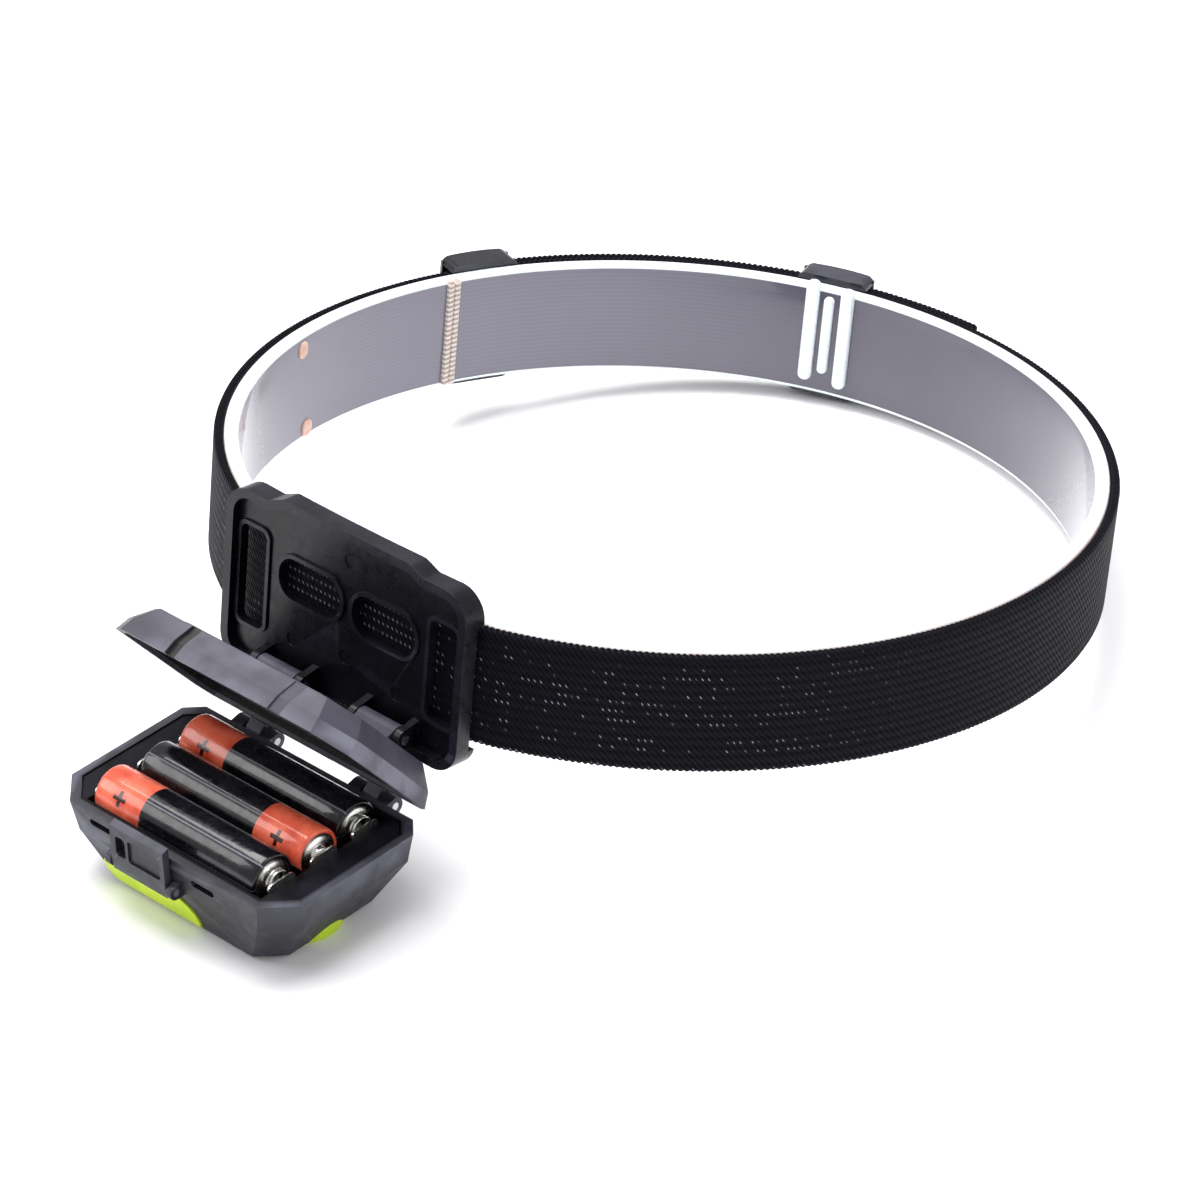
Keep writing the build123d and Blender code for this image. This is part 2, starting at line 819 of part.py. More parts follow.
build_spring(cell_rows[0], False, "spring_front")
build_spring(cell_rows[1], True, "spring_middle")
build_spring(cell_rows[2], False, "spring_rear")


# ---- board, emitter and optics inside the head ----

board_top = tray_floor - 0.3
board_thickness = 1.0
board_screw_x = 17.0
board_screw_y = 9.5

with BuildPart() as led_board:
    with BuildSketch(Plane.XY.offset(board_top - board_thickness)):
        with Locations((0, head_y)):
            RectangleRounded(40, 25, 3)
        with Locations((0, head_y)):
            with GridLocations(2 * board_screw_x, 2 * board_screw_y, 2, 2):
                Circle(0.9, mode=Mode.SUBTRACT)
    extrude(amount=board_thickness)
save(led_board.part, "led_board")

with BuildPart() as board_screws:
    with BuildSketch(Plane.XY.offset(board_top - board_thickness - 0.9)):
        with Locations((0, head_y)):
            with GridLocations(2 * board_screw_x, 2 * board_screw_y, 2, 2):
                Circle(1.5)
    extrude(amount=0.9)
    with BuildSketch(Plane.XY.offset(board_top - board_thickness - 0.1)):
        with Locations((0, head_y)):
            with GridLocations(2 * board_screw_x, 2 * board_screw_y, 2, 2):
                Circle(0.8)
    extrude(amount=board_thickness + 0.3)
save(board_screws.part, "board_screws")

spreader_bottom = board_top - board_thickness - 0.8

with BuildPart() as heat_spreader:
    with BuildSketch(Plane.XY.offset(spreader_bottom)):
        with Locations((0, head_y)):
            RectangleRounded(16, 16, 2)
    extrude(amount=0.8)
save(heat_spreader.part, "heat_spreader")

with BuildPart() as led_emitter:
    with BuildSketch(Plane.XY.offset(spreader_bottom - 0.7)):
        with Locations((0, bezel_y)):
            Rectangle(3.5, 3.5)
    extrude(amount=0.7)
    with BuildSketch(Plane.XY.offset(spreader_bottom - 0.7)):
        with Locations((0, bezel_y)):
            Circle(1.4)
    extrude(amount=-0.9, taper=18)
save(led_emitter.part, "led_emitter")

reflector_top = spreader_bottom - 0.15
reflector_bottom = 1.9
reflector_radius = 10.4
reflector_neck = 2.7
reflector_wall = 0.6

with BuildPart() as reflector:
    with BuildSketch(Plane(origin=(0, bezel_y, 0), x_dir=(1, 0, 0), z_dir=(0, -1, 0))):
        with BuildLine():
            inner = Spline(
                (reflector_neck, reflector_top),
                (7.0, 6.2),
                (reflector_radius, reflector_bottom),
                tangents=((0.6, -0.35), (0.45, -1)),
            )
            Line(inner @ 1, (reflector_radius + reflector_wall, reflector_bottom))
            outer = Spline(
                (reflector_radius + reflector_wall, reflector_bottom),
                (7.5, 7.0),
                (reflector_neck + reflector_wall + 0.8, reflector_top),
                tangents=((-0.45, 1), (-0.6, 0.35)),
            )
            Line(outer @ 1, inner @ 0)
        make_face()
    revolve(axis=Axis((0, bezel_y, 0), (0, 0, 1)))
save(reflector.part, "reflector")

with BuildPart() as front_lens:
    with BuildSketch(Plane.XY.offset(0.5)):
        with Locations((0, bezel_y)):
            Circle(lens_radius)
    extrude(amount=1.3)
save(front_lens.part, "front_lens")

with BuildPart() as front_bezel:
    with BuildSketch(Plane.XY):
        with Locations((0, bezel_y)):
            Ellipse(bezel_half_width, bezel_half_length)
    extrude(amount=bezel_height)
    with BuildSketch(Plane.XY):
        with Locations((0, bezel_y)):
            Circle(lens_radius - 0.9)
    extrude(amount=bezel_height, mode=Mode.SUBTRACT)
    with BuildSketch(Plane.XY.offset(0.45)):
        with Locations((0, bezel_y)):
            Circle(lens_radius + 0.1)
    extrude(amount=bezel_height, mode=Mode.SUBTRACT)
    with BuildSketch(Plane.XY.offset(1.95)):
        with Locations((0, bezel_y)):
            Circle(lens_radius + 0.9)
    extrude(amount=bezel_height, mode=Mode.SUBTRACT)
    outer_edges = edges().filter_by(GeomType.ELLIPSE).group_by(Axis.Z)[0]
    chamfer(outer_edges, 0.5)
save(front_bezel.part, "front_bezel")

with BuildPart() as lens_seal:
    with BuildSketch(Plane(origin=(0, bezel_y, 0), x_dir=(1, 0, 0), z_dir=(0, -1, 0))):
        with Locations((lens_radius + 0.5, 2.4)):
            Circle(0.35)
    revolve(axis=Axis((0, bezel_y, 0), (0, 0, 1)))
save(lens_seal.part, "lens_seal")


# ---- push button, its switch and the latch ----

with BuildPart() as power_button:
    with BuildSketch(side_plane((button_left + button_right) / 2)):
        with BuildLine():
            low_face = front_face_y(nose_z)
            high_face = front_face_y(button_top + 1)
            Polyline(
                (low_face - button_proud, nose_z),
                (low_face + button_depth, nose_z),
                (high_face + button_depth, button_top + 1),
                (high_face - button_proud, button_top + 1),
                close=True,
            )
        make_face()
    extrude(amount=button_right - button_left, both=True)
    with BuildSketch(front_plane(front_wall_y - 1)):
        add(button_outline_profile())
    extrude(amount=-9, mode=Mode.INTERSECT)
save(power_button.part, "power_button")

button_back = front_face_y(switch_z) + button_depth

with BuildPart() as tact_switch:
    with BuildSketch(front_plane(button_back + button_travel + 0.3)):
        with Locations((switch_x, switch_z)):
            Rectangle(3.0, 1.6)
    extrude(amount=-0.8)
    with BuildSketch(front_plane(button_back + button_travel + 1.1)):
        with Locations((switch_x, switch_z + 0.7)):
            Rectangle(4.4, 4.0)
    extrude(amount=-1.4)
save(tact_switch.part, "tact_switch")

latch_y = front_wall_y - 0.3

with BuildPart() as latch_tab:
    with BuildSketch(side_plane(latch_x)):
        with BuildLine():
            Polyline(
                (latch_y, latch_top),
                (latch_y - latch_thickness, latch_top - 0.6),
                (latch_y - latch_thickness, latch_axis_z),
                (latch_axis_y - 0.9, latch_bottom),
                (latch_axis_y + 1.0, latch_bottom),
                (latch_axis_y + 1.0, latch_axis_z + 1.2),
                (latch_y, latch_axis_z + 2.6),
                close=True,
            )
        make_face()
        with Locations((latch_axis_y, latch_axis_z)):
            Circle(latch_pin_radius + 0.05, mode=Mode.SUBTRACT)
    extrude(amount=latch_width / 2, both=True)
    # a window and a shallow recess on the face
    with BuildSketch(front_plane(latch_y - latch_thickness)):
        with Locations((latch_x - 4.6, 15.8)):
            RectangleRounded(2.6, 4.4, 0.6)
    extrude(amount=-2 * latch_thickness, mode=Mode.SUBTRACT)
    with BuildSketch(front_plane(latch_y - latch_thickness)):
        with Locations((latch_x + 1.8, 15.8)):
            RectangleRounded(8.6, 5.0, 0.6)
    extrude(amount=-0.5, mode=Mode.SUBTRACT)
save(latch_tab.part, "latch_tab")

with BuildPart() as latch_pin:
    with BuildSketch(side_plane(latch_x)):
        with Locations((latch_axis_y, latch_axis_z)):
            Circle(latch_pin_radius)
    extrude(amount=latch_width / 2 + latch_side_gap + ear_width, both=True)
save(latch_pin.part, "latch_pin")
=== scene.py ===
"""Looks for the headlamp. Metres throughout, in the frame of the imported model."""
import math

import bmesh
import bpy
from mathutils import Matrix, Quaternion, Vector


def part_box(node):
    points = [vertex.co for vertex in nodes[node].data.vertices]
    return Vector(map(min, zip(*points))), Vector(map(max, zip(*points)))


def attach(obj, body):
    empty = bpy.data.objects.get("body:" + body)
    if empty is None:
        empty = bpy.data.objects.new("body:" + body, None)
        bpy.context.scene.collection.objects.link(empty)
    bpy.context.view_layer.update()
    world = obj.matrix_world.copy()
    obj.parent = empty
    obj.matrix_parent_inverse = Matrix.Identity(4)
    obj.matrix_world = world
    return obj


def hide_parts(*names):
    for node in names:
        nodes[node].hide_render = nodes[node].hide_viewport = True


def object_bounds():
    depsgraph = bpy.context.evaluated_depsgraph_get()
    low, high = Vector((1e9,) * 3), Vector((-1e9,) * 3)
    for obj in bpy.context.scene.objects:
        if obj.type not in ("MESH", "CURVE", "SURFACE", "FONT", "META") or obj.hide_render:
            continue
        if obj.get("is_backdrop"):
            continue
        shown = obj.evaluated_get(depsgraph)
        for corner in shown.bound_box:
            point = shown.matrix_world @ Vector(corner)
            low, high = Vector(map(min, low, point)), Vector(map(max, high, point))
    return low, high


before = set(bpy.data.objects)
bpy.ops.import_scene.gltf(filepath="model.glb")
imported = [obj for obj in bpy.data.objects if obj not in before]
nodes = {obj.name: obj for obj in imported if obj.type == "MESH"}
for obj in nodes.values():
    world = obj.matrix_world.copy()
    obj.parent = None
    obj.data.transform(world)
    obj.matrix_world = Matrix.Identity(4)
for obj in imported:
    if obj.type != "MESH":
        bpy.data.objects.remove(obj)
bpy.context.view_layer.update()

MM = 0.001

# ---- the band's own axes, as in the design ----
BAND_SLOPE = math.radians(8.93)
BAND_FRONT = -65.75 * MM
BAND_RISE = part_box("headband_strap")[0].z + (88.0 + 93.8) * MM * math.sin(BAND_SLOPE)
BAND_CENTRE = 88.0 * MM
HALF_WIDTH = 89.3 * MM
HALF_LENGTH = 93.8 * MM
STRAP_FRONT = -1.2 * MM
FRONT_BEND = 38.0 * MM
STRAP_WIDTH = 25.0 * MM
STRAP_THICKNESS = 2.0 * MM
LAYER_THICKNESS = 1.6 * MM
LAYER_GAP = 0.15 * MM
LINER_THICKNESS = 3.0 * MM
LINER_GAP = 0.05 * MM
LINER_CORNER = 0.9 * MM
LINER_STATIONS = 360
LINER_PITCH = 1.6 * MM
STITCH = 1.2 * MM
ROW = STRAP_WIDTH / 13
PICOT = 0.38 * MM

# ---- glints in the knit: distances along the strap from the middle of the bracket ----
WINDOW_REACH = 23 * MM
GLINT_MIDDLE = 25 * MM
GLINT_FULL = 50 * MM
GLINT_NONE = 100 * MM

# ---- cells; PLUS_TURN is a share of a turn round the sleeve ----
CELL_RADIUS = 5.25 * MM
CELL_BODY = 43.4 * MM
CELL_BUTTON = 1.1 * MM
SLEEVE_RED_END = 13.4 * MM
PLUS_TURN = 0.4
PLUS_MIDDLE = 7.6 * MM
PLUS_HALF_WIDTH = 0.4 * MM
PLUS_HALF_LENGTH = 1.6 * MM
SOFT_EDGE = 0.1 * MM

# ---- the rear cover: its hinge axis as (y, z), its angle at rest, and its narrow groove, painted with shade ----
COVER_AXIS = (-76.7595 * MM, 16.5685 * MM)
COVER_ANGLE = math.radians(51.0)
GROOVE_X = -12.2 * MM
GROOVE_HALF_WIDTH = 1.3 * MM
GROOVE_END = -36.3 * MM

# ---- details on the liner's inner face: angles round the band in degrees, the rest in millimetres ----
LINER_BARS = ((112.1, 2.9, 26.4, 3.0), (109.5, 5.25, 23.25, 2.2), (106.7, 2.5, 26.0, 3.0))
SEAM_ANGLE = 165.8
SEAM_CORDS = (-0.8, 0.8)
PEACH_DOTS = ((195.3, 21.5), (193.2, 2.4))


def band_point(x, depth, height):
    """A point given in the band's sloping axes."""
    sine, cosine = math.sin(BAND_SLOPE), math.cos(BAND_SLOPE)
    return Vector((
        x,
        BAND_FRONT + depth * cosine + height * sine,
        BAND_RISE - depth * sine + height * cosine,
    ))


# ================= materials =================


class Graph:
    """A material's node tree, with short ways to add and join its nodes."""

    def __init__(self, name):
        self.material = bpy.data.materials.new(name)
        self.material.use_nodes = True
        self.tree = self.material.node_tree
        self.shader = self.tree.nodes["Principled BSDF"]

    def put(self, socket, value):
        if isinstance(value, bpy.types.NodeSocket):
            self.tree.links.new(value, socket)
        else:
            socket.default_value = value

    def add(self, kind, output, inputs, **settings):
        node = self.tree.nodes.new(kind)
        for name, value in settings.items():
            setattr(node, name, value)
        for name, value in inputs.items():
            self.put(node.inputs[name], value)
        return node.outputs[output]

    def maths(self, operation, a, b=0.0, c=0.0):
        return self.add("ShaderNodeMath", 0, {0: a, 1: b, 2: c}, operation=operation)

    def place(self):
        return self.add("ShaderNodeTexCoord", "Object", {})

    def split(self, vector):
        node = self.tree.nodes.new("ShaderNodeSeparateXYZ")
        self.tree.links.new(vector, node.inputs[0])
        return node.outputs

    def uv(self):
        return self.split(self.add("ShaderNodeTexCoord", "UV", {}))

    def noise(self, size, detail=2.0, vector=None, roughness=0.5):
        """Soft noise with features of a size in metres."""
        vector = vector or self.place()
        inputs = {"Vector": vector, "Scale": 1 / size, "Detail": detail, "Roughness": roughness}
        return self.add("ShaderNodeTexNoise", "Fac", inputs)

    def cells(self, size, vector=None):
        """A pattern of cells, dark at their middles."""
        inputs = {"Vector": vector or self.place(), "Scale": 1 / size}
        return self.add("ShaderNodeTexVoronoi", "Distance", inputs)

    def map(self, value, low, high, to_low, to_high, smooth=True):
        inputs = {"Value": value, "From Min": low, "From Max": high, "To Min": to_low, "To Max": to_high}
        kind = "SMOOTHSTEP" if smooth else "LINEAR"
        return self.add("ShaderNodeMapRange", "Result", inputs, interpolation_type=kind)

    def mix(self, share, a, b):
        node = self.tree.nodes.new("ShaderNodeMix")
        node.data_type = "RGBA"
        self.put(node.inputs[0], share)
        self.put(node.inputs[6], a)
        self.put(node.inputs[7], b)
        return node.outputs[2]

    def two_tones(self, size, a, b):
        """Soft patches of two colours, with features of a size in metres."""
        return self.mix(self.map(self.noise(size, 3.0), 0.3, 0.7, 0.0, 1.0), a, b)

    def bump(self, height, distance, strength=1.0, normal=None):
        inputs = {"Height": height, "Distance": distance, "Strength": strength}
        if normal:
            inputs["Normal"] = normal
        return self.add("ShaderNodeBump", "Normal", inputs)

    def shade(self, **values):
        """Set or link the shader's inputs: base_color goes to Base Color, and so on."""
        for name, value in values.items():
            self.put(self.shader.inputs[name.replace("_", " ").title().replace("Ior", "IOR")], value)
        return self.material


def colour(red, green, blue):
    """A colour given in screen values from 0 to 255."""
    shares = (value / 255 for value in (red, green, blue))
    return (*(((v + 0.055) / 1.055) ** 2.4 if v > 10 / 255 else v / 12.92 for v in shares), 1.0)


def groove_shade_mask(g):
    """1 on the walls of the rear cover's narrow groove, in its rest position, where painted shade goes."""
    x, y, z = g.split(g.place())
    forward = g.maths("SUBTRACT", y, COVER_AXIS[0])
    above = g.maths("SUBTRACT", z, COVER_AXIS[1])
    down_skirt = g.maths(
        "SUBTRACT",
        g.maths("MULTIPLY", forward, math.cos(COVER_ANGLE)),
        g.maths("MULTIPLY", above, math.sin(COVER_ANGLE)),
    )
    from_middle = g.maths("ABSOLUTE", g.maths("SUBTRACT", x, GROOVE_X))
    half_edge = SOFT_EDGE / 2
    inside = g.map(from_middle, GROOVE_HALF_WIDTH - half_edge, GROOVE_HALF_WIDTH + half_edge, 1.0, 0.0)
    on_skirt = g.map(down_skirt, GROOVE_END - SOFT_EDGE, GROOVE_END + SOFT_EDGE, 1.0, 0.0)
    return g.maths("MULTIPLY", inside, on_skirt)


def moulded(
    name, dark, light, edge_highlight, roughness, grain=0.35 * MM, depth=0.02 * MM, coat=0.0, shine=0.4, groove_shade=None
):
    """Moulded plastic: fine grain, slow changes of tone, and paler edges in patches, a painted highlight along its
    sharp edges.
    """
    g = Graph(name)
    tone = g.noise(9 * MM, 4.0)
    speck = g.noise(0.9 * MM, 3.0)
    base = g.mix(g.map(tone, 0.3, 0.7, 0.0, 1.0), dark, light)
    base = g.mix(g.map(speck, 0.62, 0.8, 0.0, 0.35), base, light)
    # painted highlight: the pale edge colour laid in patches over sharp edges
    edge = g.add("ShaderNodeNewGeometry", "Pointiness", {})
    edge_highlight_share = g.maths("MULTIPLY", g.map(edge, 0.52, 0.6, 0.0, 1.0), g.map(tone, 0.35, 0.6, 0.25, 0.9))
    base = g.mix(edge_highlight_share, base, edge_highlight)
    # painted shade: near black where the mask says, for the shade down in the cover's groove
    if groove_shade:
        base = g.mix(groove_shade(g), base, colour(8, 8, 12))
    rough = g.map(g.noise(2.5 * MM, 3.0), 0.25, 0.75, roughness - 0.06, roughness + 0.08)
    fine = g.bump(g.noise(grain, 2.0), depth)
    wavy = g.bump(g.noise(7 * MM, 1.0), 0.05 * MM, 0.5, fine)
    return g.shade(
        base_color=base, roughness=rough, normal=wavy,
        coat_weight=coat, coat_roughness=0.12, specular_ior_level=shine,
    )


def knitted(name, sparkle):
    """Black knitted elastic: rows of slanted stitches, painted shade in the hollows between them, and small pale
    glints in some rows.
    """
    g = Graph(name)
    u, v, _ = g.uv()
    along = g.maths("DIVIDE", u, STITCH)
    across = g.maths("DIVIDE", v, ROW)
    slant = g.maths("ADD", along, g.maths("MULTIPLY", across, 1.5))
    thread = g.maths("ABSOLUTE", g.maths("SINE", g.maths("MULTIPLY", slant, math.pi)))
    row = g.maths("ABSOLUTE", g.maths("SINE", g.maths("MULTIPLY", across, math.pi)))
    fuzz = g.noise(0.25 * MM, 3.0)
    height = g.maths("ADD", g.maths("MULTIPLY", thread, 0.7), g.maths("MULTIPLY", row, 0.45))
    height = g.maths("ADD", height, g.maths("MULTIPLY", fuzz, 0.35))
    column = g.maths("FLOOR", along)
    line = g.maths("FLOOR", across)
    place = g.add("ShaderNodeCombineXYZ", 0, {0: column, 1: line})
    chance = g.add("ShaderNodeTexWhiteNoise", "Value", {"Vector": place}, noise_dimensions="2D")
    chosen = g.add("ShaderNodeTexWhiteNoise", "Value", {"W": line}, noise_dimensions="1D")
    run = g.add("ShaderNodeTexNoise", "Fac", {"Vector": place, "Scale": 0.11, "Detail": 2.0})
    off_middle = g.maths("SUBTRACT", g.maths("FRACT", along), 0.5)
    off_row = g.maths("MULTIPLY", g.maths("SUBTRACT", g.maths("FRACT", across), 0.5), ROW / STITCH)
    leaning = g.maths("ADD", off_middle, g.maths("MULTIPLY", off_row, 0.7))
    flat = g.maths("POWER", g.maths("MULTIPLY", leaning, 1.5), 2.0)
    distance = g.maths("SQRT", g.maths("ADD", flat, g.maths("POWER", g.maths("MULTIPLY", off_row, 0.75), 2.0)))
    glint = g.map(distance, 0.08, 0.22, 1.0, 0.0)
    in_window = g.map(g.maths("ABSOLUTE", u), WINDOW_REACH - MM, WINDOW_REACH + MM, 0.35, 0.0)
    score = g.maths("ADD", g.maths("MULTIPLY", chance, 0.55), g.maths("MULTIPLY", chosen, 0.35))
    score = g.maths("ADD", g.maths("ADD", score, g.maths("MULTIPLY", run, 0.9)), in_window)
    glint = g.maths("MULTIPLY", glint, g.map(score, 1.02, 1.2, 0.0, 1.0))
    glint = g.maths("MULTIPLY", glint, sparkle(g, u))
    # painted shade: darker in the hollows between stitches, paler on the ridges
    hollow_shade = colour(2, 2, 5)
    ridge = colour(13, 12, 21)
    base = g.mix(g.map(height, 0.25, 1.2, 0.0, 1.0), hollow_shade, ridge)
    base = g.mix(glint, base, colour(168, 168, 182))
    return g.shade(
        base_color=base, roughness=g.map(height, 0.2, 1.3, 0.9, 0.55), normal=g.bump(height, 0.28 * MM),
        sheen_weight=0.02, sheen_roughness=0.4, specular_ior_level=0.08,
    )


def near_bracket(g, u):
    """Glints fade out away from the bracket, where the strap isn't stretched over its edge."""
    away = g.maths("ABSOLUTE", g.maths("SUBTRACT", u, GLINT_MIDDLE))
    return g.map(away, GLINT_FULL, GLINT_NONE, 0.9, 0.0)


def nowhere(g, u):
    """No glints at all."""
    return g.maths("MULTIPLY", u, 0.0)


def liner_material():
    """Milky clear plastic: its polished rim is white; its inner face is painted grey for the dark strap behind it
    under a painted veil of reflected light, with painted light making it paler towards both sides and near white at
    the right.
    """
    g = Graph("liner_plastic")
    rows = g.maths("SINE", g.maths("MULTIPLY", g.uv()[1], 2 * math.pi / (ROW / 2)))
    tone = g.noise(30 * MM, 2.0)
    # painted reflection: the mid grey is the dark strap behind, with a painted veil of reflected light over it
    base = g.mix(g.map(tone, 0.3, 0.7, 0.0, 1.0), colour(78, 75, 88), colour(86, 83, 97))
    across = g.split(g.place())[0]
    # painted light: paler towards the left side
    base = g.mix(g.map(across, -86 * MM, -20 * MM, 0.7, 0.0), base, colour(128, 125, 140))
    # painted light: near white towards the right side
    base = g.mix(g.map(across, 36 * MM, 90 * MM, 0.0, 0.8), base, colour(205, 205, 214))
    base = g.mix(g.map(rows, -1.0, 1.0, 0.0, 0.12), base, colour(72, 70, 84))
    height = g.maths("ADD", g.noise(1.2 * MM, 3.0), g.maths("MULTIPLY", rows, 0.1))
    return g.shade(base_color=base, roughness=0.24, normal=g.bump(height, 0.03 * MM), coat_weight=0.6)


def rim_material():
    """The liner's white polished rim and raised bars."""
    g = Graph("liner_rim_white")
    base = g.mix(g.noise(6 * MM, 3.0), colour(240, 240, 246), colour(255, 255, 255))
    return g.shade(
        base_color=base, roughness=g.map(g.noise(1.5 * MM), 0.3, 0.7, 0.18, 0.3),
        normal=g.bump(g.noise(0.8 * MM), 0.02 * MM), subsurface_weight=0.2, coat_weight=0.4,
    )


def metal(name, tint, roughness, brushed=0.0):
    """Bright or brushed metal with faint tarnish."""
    g = Graph(name)
    tone = g.noise(2.2 * MM, 4.0)
    base = g.mix(g.map(tone, 0.45, 0.75, 0.0, 0.6), tint, tuple(c * 0.62 for c in tint[:3]) + (1.0,))
    stretched = g.add("ShaderNodeMapping", 0, {"Vector": g.place(), "Scale": (1.0, 14.0, 14.0)})
    scratch = g.noise(1.2 * MM, 3.0, stretched)
    rough = g.map(scratch, 0.3, 0.7, roughness - 0.07, roughness + 0.1)
    depth = (0.01 + brushed) * MM
    return g.shade(base_color=base, metallic=1.0, roughness=rough, normal=g.bump(scratch, depth))


def sleeve_material():
    """The cells' shrink sleeve: orange-red with a plus mark at the plus end, black for the rest with a thin painted
    highlight along it, glossy.
    """
    g = Graph("cell_sleeve")
    u, v, _ = g.uv()
    waver = g.maths("MULTIPLY", g.maths("SUBTRACT", g.noise(4 * MM), 0.5), 0.3 * MM)
    place = g.maths("ADD", v, waver)
    black = g.map(place, SLEEVE_RED_END, SLEEVE_RED_END + 1.5 * SOFT_EDGE, 0.0, 1.0)
    red = g.two_tones(5 * MM, colour(206, 72, 48), colour(240, 112, 82))
    dark = g.two_tones(3 * MM, colour(5, 5, 9), colour(14, 14, 21))
    base = g.mix(black, red, dark)
    seam = g.map(g.maths("ABSOLUTE", g.maths("SUBTRACT", u, 0.5)), 0.0, 0.006, 1.0, 0.0)
    base = g.mix(g.maths("MULTIPLY", seam, 0.35), base, colour(150, 150, 160))
    around = g.maths("MULTIPLY", g.maths("SUBTRACT", u, PLUS_TURN), 2 * math.pi * CELL_RADIUS)
    around = g.maths("ABSOLUTE", around)
    along = g.maths("ABSOLUTE", g.maths("SUBTRACT", v, PLUS_MIDDLE))
    bars = []
    for narrow, wide in ((around, along), (along, around)):
        in_width = g.map(narrow, PLUS_HALF_WIDTH, PLUS_HALF_WIDTH + SOFT_EDGE, 1.0, 0.0)
        in_length = g.map(wide, PLUS_HALF_LENGTH, PLUS_HALF_LENGTH + SOFT_EDGE, 1.0, 0.0)
        bars.append(g.maths("MULTIPLY", in_width, in_length))
    base = g.mix(g.maths("MAXIMUM", *bars), base, colour(52, 16, 12))
    # painted highlight: a thin pale line along the black part of the sleeve
    highlight_streak = g.map(g.maths("ABSOLUTE", g.maths("SUBTRACT", u, 0.33)), 0.004, 0.007, 0.7, 0.0)
    base = g.mix(g.maths("MULTIPLY", highlight_streak, black), base, colour(128, 130, 142))
    hair = g.map(g.noise(0.6 * MM, 4.0), 0.62, 0.72, 0.0, 0.25)
    base = g.mix(g.maths("MULTIPLY", hair, black), base, colour(70, 72, 86))
    wrinkle = g.maths("ADD", g.noise(2.2 * MM, 2.0), g.maths("MULTIPLY", seam, 0.6))
    return g.shade(
        base_color=base, roughness=g.map(g.noise(2 * MM, 2.0), 0.3, 0.7, 0.16, 0.3),
        normal=g.bump(wrinkle, 0.05 * MM), coat_weight=0.5, coat_roughness=0.04, specular_ior_level=0.3,
    )


def sewn_material():
    """Cream tape and thread over the liner's joint."""
    g = Graph("cream_seam")
    twist = g.maths("SINE", g.maths("MULTIPLY", g.split(g.place())[2], 2 * math.pi / (1.1 * MM)))
    base = g.mix(g.map(twist, -1.0, 1.0, 0.0, 1.0), colour(176, 158, 150), colour(238, 228, 220))
    return g.shade(base_color=base, roughness=0.75, normal=g.bump(twist, 0.12 * MM), sheen_weight=0.2)


def peach_material():
    """Pale pink plastic of the two dots."""
    g = Graph("peach_plastic")
    base = g.two_tones(1.5 * MM, colour(222, 170, 148), colour(240, 196, 176))
    normal = g.bump(g.noise(0.5 * MM), 0.02 * MM)
    return g.shade(base_color=base, roughness=0.45, normal=normal, subsurface_weight=0.1)


def lime_material():
    """Lime green plastic of the bezel and the push button."""
    g = Graph("lime_plastic")
    base = g.two_tones(8 * MM, colour(196, 222, 34), colour(214, 236, 54))
    base = g.mix(g.map(g.noise(0.7 * MM, 3.0), 0.6, 0.8, 0.0, 0.3), base, colour(176, 204, 24))
    return g.shade(
        base_color=base, roughness=g.map(g.noise(1.5 * MM), 0.3, 0.7, 0.34, 0.48),
        normal=g.bump(g.noise(0.3 * MM), 0.02 * MM), subsurface_weight=0.08,
    )


def rubber_material():
    """Black rubber of the seals."""
    g = Graph("black_rubber")
    base = g.mix(g.map(g.noise(1.0 * MM, 4.0), 0.4, 0.7, 0.0, 1.0), colour(16, 16, 18), colour(34, 34, 38))
    return g.shade(base_color=base, roughness=0.8, normal=g.bump(g.noise(0.3 * MM), 0.03 * MM))


def board_material():
    """A circuit board: white solder mask over faint copper tracks."""
    g = Graph("circuit_board")
    track = g.add(
        "ShaderNodeTexBrick", "Fac",
        {"Vector": g.place(), "Scale": 160.0, "Mortar Size": 0.05, "Bias": 0.0},
    )
    base = g.mix(track, colour(224, 226, 226), colour(196, 204, 198))
    base = g.mix(g.map(g.noise(3 * MM, 3.0), 0.5, 0.7, 0.0, 0.4), base, colour(206, 208, 210))
    return g.shade(base_color=base, roughness=0.42, normal=g.bump(track, 0.04 * MM))


def phosphor_material():
    """Yellow phosphor of the light source."""
    g = Graph("led_phosphor")
    grain = g.cells(0.25 * MM)
    base = g.mix(g.map(grain, 0.0, 0.6, 0.0, 1.0), colour(240, 214, 70), colour(222, 180, 40))
    return g.shade(base_color=base, roughness=0.5, normal=g.bump(grain, 0.02 * MM), subsurface_weight=0.2)


def lens_material():
    """Clear plastic of the front window."""
    g = Graph("clear_lens")
    haze = g.noise(4 * MM, 3.0)
    return g.shade(
        base_color=g.mix(haze, colour(244, 249, 250), colour(255, 255, 255)), transmission_weight=0.95,
        roughness=g.map(haze, 0.3, 0.7, 0.02, 0.06), normal=g.bump(g.noise(6 * MM), 0.02 * MM),
    )


def floor_material():
    """Plain pale floor."""
    g = Graph("pale_floor")
    base = g.mix(g.noise(60 * MM, 2.0), colour(246, 246, 248), colour(250, 250, 252))
    return g.shade(base_color=base, roughness=0.85, specular_ior_level=0.1)


